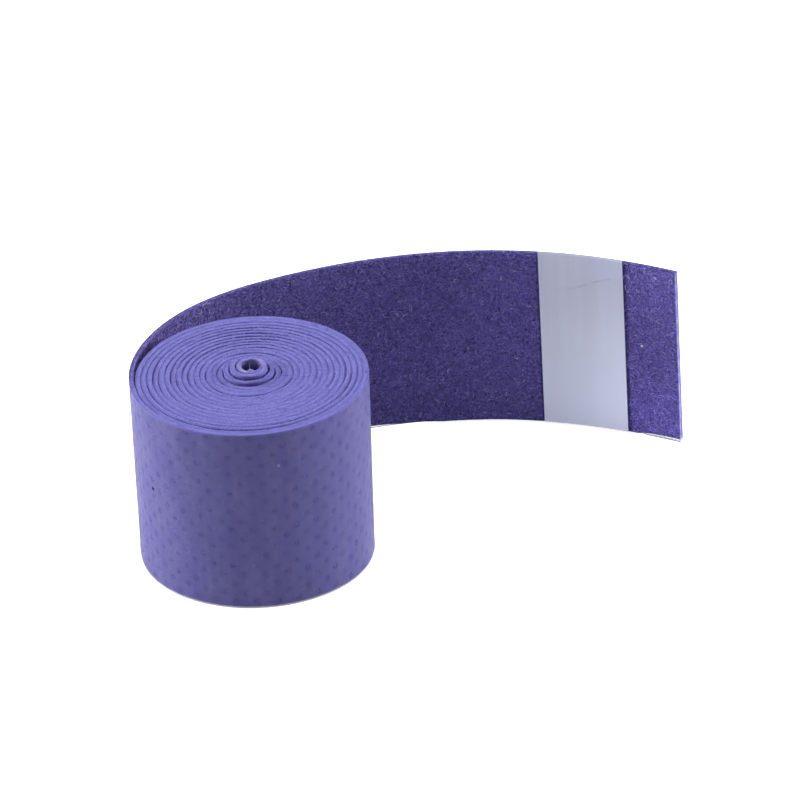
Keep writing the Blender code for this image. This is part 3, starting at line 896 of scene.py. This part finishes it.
def skin_piece(name, start, end, cols, first_col, seed):
    """The embossed skin: square cells, every second one holding a dimple.
    first_col is the running number of the cell at the end, counted towards the core."""
    nrow = len(ROW_Z)
    grid_along = np.linspace(start, end, 4 * cols + 1)
    grid_z = np.concatenate([np.linspace(ROW_EDGE[r + 1], ROW_EDGE[r], 5)[:-1]
                             for r in range(nrow - 1, -1, -1)] + [[ROW_EDGE[0]]])
    wide, tall = len(grid_along), len(grid_z)
    base = wide * tall
    used = np.ones((wide, tall), bool)
    faces = []
    extra = []                                               # along, z, height, mark
    rng = np.random.default_rng(1234 + seed)
    angle = np.arange(16) * math.pi / 8

    def vert(i, j):
        return i * tall + j

    for c in range(cols):
        i0 = 4 * c
        mid = (grid_along[i0] + grid_along[i0 + 4]) / 2
        for r, row_z in enumerate(ROW_Z):
            j0 = 4 * (nrow - 1 - r)
            if (first_col + (cols - 1 - c) + r) % 2:
                for i in range(i0, i0 + 4):
                    for j in range(j0, j0 + 4):
                        faces.append([vert(i, j), vert(i + 1, j), vert(i + 1, j + 1),
                                      vert(i, j + 1)])
                continue
            used[i0 + 1:i0 + 4, j0 + 1:j0 + 4] = False
            room_up = min((grid_z[j0 + 4] - row_z) / (CELL / 2), 1.0)
            room_down = min((row_z - grid_z[j0]) / (CELL / 2), 1.0)
            off_along, off_z = rng.uniform(-0.05, 0.05, 2)
            off_z = off_z * (0 if r in (0, nrow - 1) else 1)
            deep, size, turn = rng.uniform(0.55, 1.15), rng.uniform(0.86, 1.14), rng.uniform(0, 6.28)
            squash = rng.uniform(-0.10, 0.10)
            uneven = 0.72 + 0.34 * np.cos(angle - turn) + 0.16 * np.cos(2 * angle + turn * 2)
            first = base + len(extra)
            for radius, height, mark in DIMPLE:
                aside = np.cos(angle) * (radius * size) * (1 + squash)
                rise = np.sin(angle) * (radius * size) * (1 - squash)
                rise = np.where(rise > 0, rise * room_up, rise * room_down)
                extra.extend(zip(mid + off_along + aside, row_z + off_z + rise,
                                 height * deep * (0.8 + 0.2 * uneven),
                                 mark * np.clip(uneven, 0, 1.2) * (0.6 + 0.4 * deep)))
            centre = base + len(extra)
            extra.append((mid + off_along, row_z, -0.018 * deep, 0.30 * deep))
            for k in range(16):
                n = (k + 1) % 16
                faces.append([centre, first + k, first + n])
                for ring in range(first, first + 64, 16):
                    faces.append([ring + k, ring + 16 + k, ring + 16 + n, ring + n])
                here, after = (vert(i0 + i, j0 + j) for i, j in (BORDER[k], BORDER[n]))
                faces.append([first + 64 + k, here, after, first + 64 + n])

    # the outer face
    extra_along, extra_z, extra_height, extra_mark = np.array(extra).T
    along = np.concatenate([np.repeat(grid_along, tall), extra_along])
    z = np.concatenate([np.tile(grid_z, wide), extra_z])
    relief = np.concatenate([np.zeros(base), extra_height])
    pillow = 0.012 * vnoise(along / 2.0, z / 2.0, 61) + 0.006 * vnoise(along / 0.7, z / 0.7, 62)
    depth = SKIN_AT + SKIN_T + relief + pillow
    edge = np.where(z > WIDTH - 0.06, 0.35, 0.0)
    # inner side, rims and ends
    face_count, back_rows = len(along), len(SKIN_BACK)
    back_depth, back_z, back_edge = (np.repeat(values, wide) for values in zip(*SKIN_BACK))
    along = np.concatenate([along, np.tile(grid_along, back_rows)])
    z = np.concatenate([z, back_z])
    depth = np.concatenate([depth, back_depth])
    edge = np.concatenate([edge, back_edge])
    mark = np.concatenate([np.zeros(base), extra_mark, np.zeros(wide * back_rows)])
    chain = [[vert(i, tall - 1) for i in range(wide)]]
    chain += [[face_count + wide * k + i for i in range(wide)] for k in range(back_rows)]
    chain += [[vert(i, 0) for i in range(wide)]]
    for upper, lower in zip(chain, chain[1:]):
        for i in range(wide - 1):
            faces.append([upper[i], upper[i + 1], lower[i + 1], lower[i]])
    for i in (0, wide - 1):
        loop = [vert(i, j) for j in range(tall)] + [line[i] for line in chain[1:-1]]
        faces.append(loop if i else loop[::-1])
    # the tape's edges follow its own upper and lower line
    top, low = head(along), foot(along)
    z = low + (top - low) * (z / WIDTH)
    # drop the grid points that dimples took the place of
    keep = np.ones(len(along), bool)
    keep[:base] = used.ravel()
    remap = np.cumsum(keep) - 1
    faces = [[int(remap[v]) for v in face] for face in faces]
    along, z, depth, edge, mark = (v[keep] for v in (along, z, depth, edge, mark))
    # painted shade on the skin's top rim, growing down the tail
    shade = 0.45 * smooth((along - ROLL_END) / 22.0) * (z > head(along) - 0.08)
    return tape_piece(name, along, depth, z, faces, SKIN, edge=edge, mark=mark, shade=shade)


def skin_inner():
    """The skin of the inner turns, of which only the edges show."""
    along = stations(CORE_END, (CAD_CORE_END, 0.09), (CAD_CORE_END + 30, 0.16), (-600, 0.26),
                     (OUTER_START, 0.30))
    phi = phi_of(along)
    gap = gap_outside(phi)
    top, low = head(along), foot(along)
    near = SKIN_AT + 0.02 - core_squeeze(phi)
    far = near + SKIN_T + 0.04 + 0.045 * (1 - smooth(gap / 0.3))   # pressed turns touch
    rows = [(near, low + (top - low) * part, 0.0) for part in (0.5, 0.93)]
    rounding = 0.02 * smooth(gap / 0.15) + 0.12 * gap + 0.34 * gap**3
    # part of the way across the top, how much it is rounded off
    for part, fall in ((0.0, 0.0), (0.25, 0.0), (0.5, 0.03), (0.75, 0.10), (0.92, 0.25), (1.0, 0.60)):
        z = (top - 0.012 - 0.04 * smooth(gap / 0.3) - rounding * fall
             + 0.010 * vnoise(along / 0.6, part * 2 + phi / 40.0, 71))
        rows.append((near + (far - near) * part - 0.05 * gap * part, z, 1.0 if fall < 0.5 else 0.9))
    rows.append((far - 0.02 * gap, top - 0.7, 0.7 * smooth((turns_out(phi) - 3.2) / 0.3)))
    rows += [(far, low + (top - low) * part, 0.0) for part in (0.93, 0.5)]
    rows += [(near + (far - near) * part, low + 0.03 + 0.03 * abs(2 * part - 1), 0.8)
             for part in (1.0, 0.5, 0.0)]
    depth, z, edge = columns(rows)
    return sweep("skin_wound", along, depth, z, SKIN, edge, mark=0.0)


# ------------------------------------------------------------------ film
# the film's curled lower edge at the tape's end, inner and outer face: depth, z
CURL = (((0.10, 0.09), (0.10, 0.04), (0.13, 0.04), (0.50, 0.04), (FILM_AT, 0.12)),
        ((0.06, 0.09), (0.06, 0.00), (0.13, 0.00), (0.54, 0.00), (FILM_AT + FILM_T, 0.10)))
FILM_PARTS = np.r_[0, 0.0035, 0.0055, 0.008, 0.012, np.linspace(0.05, 0.95, 13), 0.992, 0.997, 1]


def film_piece(name, start, end, step=0.5):
    """The clear film on the outer side. It stands on the floor where the tape hangs clear of
    it, and at the tape's end its lower edge has curled under."""
    along = samples(start, end, step)
    top, low = head(along) - 0.03, np.minimum(foot(along), 0.0)
    on_tail = end > ROLL_END
    tuck = smooth((along - 82.3) / 1.3)
    rim = np.where(FILM_PARTS < 0.010, 1.0, 0.0) * (1.0 if on_tail else 0.35)
    # the lowest strip carries the painted contact shadow
    hem = np.where(FILM_PARTS < 0.0045, 1.0, 0.0) * (1.0 if on_tail else 0.5)
    upwards = range(len(FILM_PARTS))
    rows = []
    for side, order in ((0, upwards), (1, upwards[::-1])):
        for i in order:
            z = low + (top - low) * FILM_PARTS[i]
            ripple = 0.010 * vnoise(along / 2.5, z / 4.0, 81)
            depth = FILM_AT + 0.01 + FILM_T * side + ripple
            if i < len(CURL[side]):
                curl_depth, curl_z = CURL[side][i]
                depth = depth * (1 - tuck) + curl_depth * tuck
                z = z * (1 - tuck) + curl_z * tuck
            rows.append((depth, z, np.maximum(rim[i], smooth((foot(along) - z) / 0.05))))
    depth, z, edge = columns(rows)
    return sweep(name, along, depth, z, FILM, edge, ladder=True, hem=np.r_[hem, hem[::-1]])


# ------------------------------------------------------------------ starter strip
# the fold across the liner's upper part: along, z
CREASE = ((70.0, 20.65), (73.8, 20.80), (75.2, 21.25), (76.6, 21.90), (79.0, 22.80),
          (81.2, 23.45))


def strip(name, start, end, near, far, mat, relief, inset, step=0.16, rows=110):
    """A thin strip on the felt side: its open face carries relief, its back is plain."""
    along = samples(start, end, step)
    top, low = head(along) - inset, foot(along) + 0.13
    ring = []
    for part in np.linspace(0, 1, rows):
        z = low + (top - low) * part
        ring.append((near - relief(along, z), z, np.where(top - z < 0.16, 1.0, 0.0)))
    for part in (1.0, 0.5, 0.0):
        z = low + (top - low) * part
        ring.append((np.maximum(far, near - relief(along, z) + 0.03), z, 0.0))
    depth, z, edge = columns(ring)
    return sweep(name, along, depth, z, mat, edge)


def glue_relief(along, z):
    return 0.008 * vnoise(along / 0.5, z / 0.5, 95)


def liner_relief(along, z):
    """The liner's faint fold, its slow buckle and its upright ripples."""
    line = table(along, CREASE) + 0.03 * np.sin(along * 3.1)
    reach = (0.25 + 0.75 * smooth((along - 71.2) / 1.2)
             * (1 - 0.5 * smooth((along - 78.5) / 2.0)))
    fold = (0.070 * np.exp(-(((z - line) / 0.24) ** 2))
            - 0.055 * np.exp(-(((z - line + 0.5) / 0.45) ** 2)))
    ripple = (0.004 * np.sin(along * 2.9 + 0.4 * np.sin(z * 0.2))
              + 0.005 * vnoise(along / 1.1, z / 12.0, 91))
    slow = 0.018 * vnoise(along / 5.0, z / 8.0, 92)
    return fold * reach + ripple + slow + 0.02


def register(piece, links, cads=()):
    """Ties a piece to one link, or for a span between two bakes its placement into the mesh; hides
    the CAD pieces it replaces."""
    if len(links) == 2:
        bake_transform(piece)
    else:
        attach(piece, links[0])
    if cads:
        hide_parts(*cads)


def build_roll():
    on_roll = ("roll",)
    register(felt_roll(), on_roll, ["coil_felt"])
    register(top_fuzz(), on_roll)
    register(core_end(), on_roll)
    register(skin_inner(), on_roll, ["coil_grip_skin"])
    # the outermost turn's cell columns are counted back from its end
    first_col = 1
    for k, (start, end, cols) in enumerate(((OUTER_SPLIT, ROLL_END, 13),
                                            (OUTER_START, OUTER_SPLIT, 62))):
        skin = skin_piece(f"skin_outer_turn_{k + 1}", start, end, cols, first_col, k)
        register(skin, on_roll, ["coil_grip_skin"])
        first_col += cols
    film = film_piece("film_outer_turn", OUTER_START, ROLL_END)
    register(film, on_roll, ["coil_clear_film"])


def build_tail():
    cuts = [LINK * (k + 0.5) for k in range(9)] + [69.9, 81.2, 83.7, TAIL_END]
    cell_cols = [6] * 8 + [3, 9, 2, 4]
    chain = ["roll"] + [f"tail_{k:02d}" for k in range(1, 10)]
    carriers = list(zip(chain, chain[1:])) + [("tail_09",), ("tail_09", "tail_10"), ("tail_10",)]
    col = 0
    for k, (cols, links) in enumerate(zip(cell_cols, carriers)):
        start, end = cuts[k], cuts[k + 1]
        number = links[-1][-2:]                              # of the CAD pieces
        label = f"tail_{k + 1:02d}"
        col += cols
        made = [(felt_tail(f"felt_{label}", start, end), "felt", [f"tail_felt_{number}"]),
                (skin_piece(f"skin_{label}", start, end, cols, 1 - col, 10 + k),
                 "grip_skin", [f"tail_skin_{number}"])]
        if k != 9:                                           # the starter strip covers this one
            made.append((fibre_tubes(f"felt_fibres_{k + 1:02d}", start, end, 500 + k), "felt", ()))
        if k < 11:                                           # flaps cover the last one
            film = film_piece(f"film_{label}", start, end if k < 10 else FILM_FLAP)
            made.append((film, "clear_film", [f"tail_film_{number}"]))
        for piece, slot, cads in made:
            register(piece, links, cads)


def build_film_flaps():
    # name, start, end, step, links, CAD flaps
    flaps = (("root", FILM_FLAP, 85.0, 0.2, ("tail_10", "flap_1"), (1,)),
             ("middle", 85.0, 87.3, 0.25, ("flap_1", "flap_2"), (1, 2)),
             ("end", 87.3, TAIL_END, 0.25, ("flap_2",), (2,)))
    for name, start, end, step, links, numbers in flaps:
        flap = film_piece(f"film_flap_{name}", start, end, step)
        cads = [f"film_flap_{n}" for n in numbers]
        register(flap, links, cads)


def build_starter():
    glue = strip("starter_adhesive_layer", 69.95, 81.15, near=-0.115, far=-0.03, mat=GLUE,
                 relief=glue_relief, inset=0.15, step=0.25, rows=80)
    register(glue, ["tail_09"], ["starter_adhesive"])
    cuts = (69.93, 71.80, 75.55, 79.30, 81.17)
    for k, numbers in enumerate(((1,), (1, 2), (2, 3), (3,))):
        span = cuts[k:k + 2]
        liner = strip(f"release_liner_{k + 1}", *span, near=-0.165, far=-0.135, mat=LINER,
                      relief=liner_relief, inset=-0.36)
        register(liner, [f"liner_{n}" for n in numbers],
                 [f"liner_strip_{n}" for n in numbers])


build_roll()
build_tail()
build_film_flaps()
build_starter()

# ------------------------------------------------------------------ floor, light, camera
ROLL = Vector((AXIS[0] * MM, AXIS[1] * MM, 0.0))
# in metres from the roll's foot: name, position, aim, size, power in watts
LIGHTS = (
    ("softbox_left", (-0.44, 0.125, 0.12), (0.0, 0.0, 0.012), (0.30, 0.22), 5.6),
    ("softbox_right", (0.47, 0.10, 0.13), (0.0, 0.0, 0.012), (0.30, 0.24), 5.2),
    ("softbox_top", (0.02, 0.02, 0.60), (0.02, 0.01, 0.0), (0.6, 0.4), 4.9),
    ("softbox_front_left", (-0.42, -0.34, 0.16), (0.03, 0.0, 0.012), (0.30, 0.20), 0.9))
CAMERA_FROM_ROLL = Vector((0.0184712, -0.9188513, 0.5576391))
CAMERA_TILT, CAMERA_BANK = math.radians(30.325), math.radians(-3.041)
SENSOR_MM, LENS_MM = 36.0, 382.689603


def stage_floor():
    half, z = 1.6, -0.0001
    mesh = bpy.data.meshes.new("studio_floor")
    mesh.from_pydata([(-half, -half, z), (half, -half, z), (half, half, z), (-half, half, z)],
                     [], [(0, 1, 2, 3)])
    mat = Surface("pale_floor")
    cloud = mat.noise(mat.node("TexCoord", out="Object"), scale=3.0)
    colour = mat.layer((0.50, 0.50, 0.50), over=(0.53, 0.53, 0.53), mask=cloud)
    mesh.materials.append(mat.finish({
        "Base Color": colour, "Roughness": 0.9, "Specular IOR Level": 0.1,
        "Emission Color": (1.0, 1.0, 1.0), "Emission Strength": 0.84}))
    floor = bpy.data.objects.new("studio_floor", mesh)
    bpy.context.scene.collection.objects.link(floor)


def add_light(name, position, aim, size, power):
    light = bpy.data.lights.new(name, "AREA")
    light.shape = "RECTANGLE"
    light.size, light.size_y = size
    light.energy = power
    lamp = bpy.data.objects.new(name, light)
    position, aim = ROLL + Vector(position), ROLL + Vector(aim)
    lamp.location = position
    lamp.rotation_mode = "QUATERNION"
    lamp.rotation_quaternion = (aim - position).to_track_quat("-Z", "Y")
    bpy.context.scene.collection.objects.link(lamp)


def add_world():
    """The backdrop looks white to the camera but adds little light."""
    ambient, camera_extra = 0.06, 0.96
    world = bpy.data.worlds.new("studio")
    world.use_nodes = True
    graph = Graph(world.node_tree)
    backdrop = world.node_tree.nodes["Background"]
    graph.plug(backdrop.inputs[0], (1.0, 1.0, 1.0))
    seen = graph.node("LightPath", out="Is Camera Ray")
    graph.plug(backdrop.inputs[1], graph.maths("MULTIPLY_ADD", seen, camera_extra, ambient))
    bpy.context.scene.world = world


def add_camera():
    lens = bpy.data.cameras.new("camera")
    camera = bpy.data.objects.new("camera", lens)
    bpy.context.scene.collection.objects.link(camera)
    ahead = Vector((0, math.cos(CAMERA_TILT), -math.sin(CAMERA_TILT)))
    level = Vector((1, 0, 0))
    upright = level.cross(ahead)
    right = math.cos(CAMERA_BANK) * level + math.sin(CAMERA_BANK) * upright
    above = -math.sin(CAMERA_BANK) * level + math.cos(CAMERA_BANK) * upright
    position = ROLL + CAMERA_FROM_ROLL
    rows = [(right[i], above[i], -ahead[i], position[i]) for i in range(3)]
    camera.matrix_world = Matrix(rows + [(0, 0, 0, 1)])
    lens.sensor_width = SENSOR_MM
    lens.lens = LENS_MM
    lens.clip_start, lens.clip_end = 0.01, 10.0
    bpy.context.scene.camera = camera


stage_floor()
for entry in LIGHTS:
    add_light(*entry)
add_world()
add_camera()
bpy.context.scene.view_settings.view_transform = "Standard"
bpy.context.scene.view_settings.look = "None"
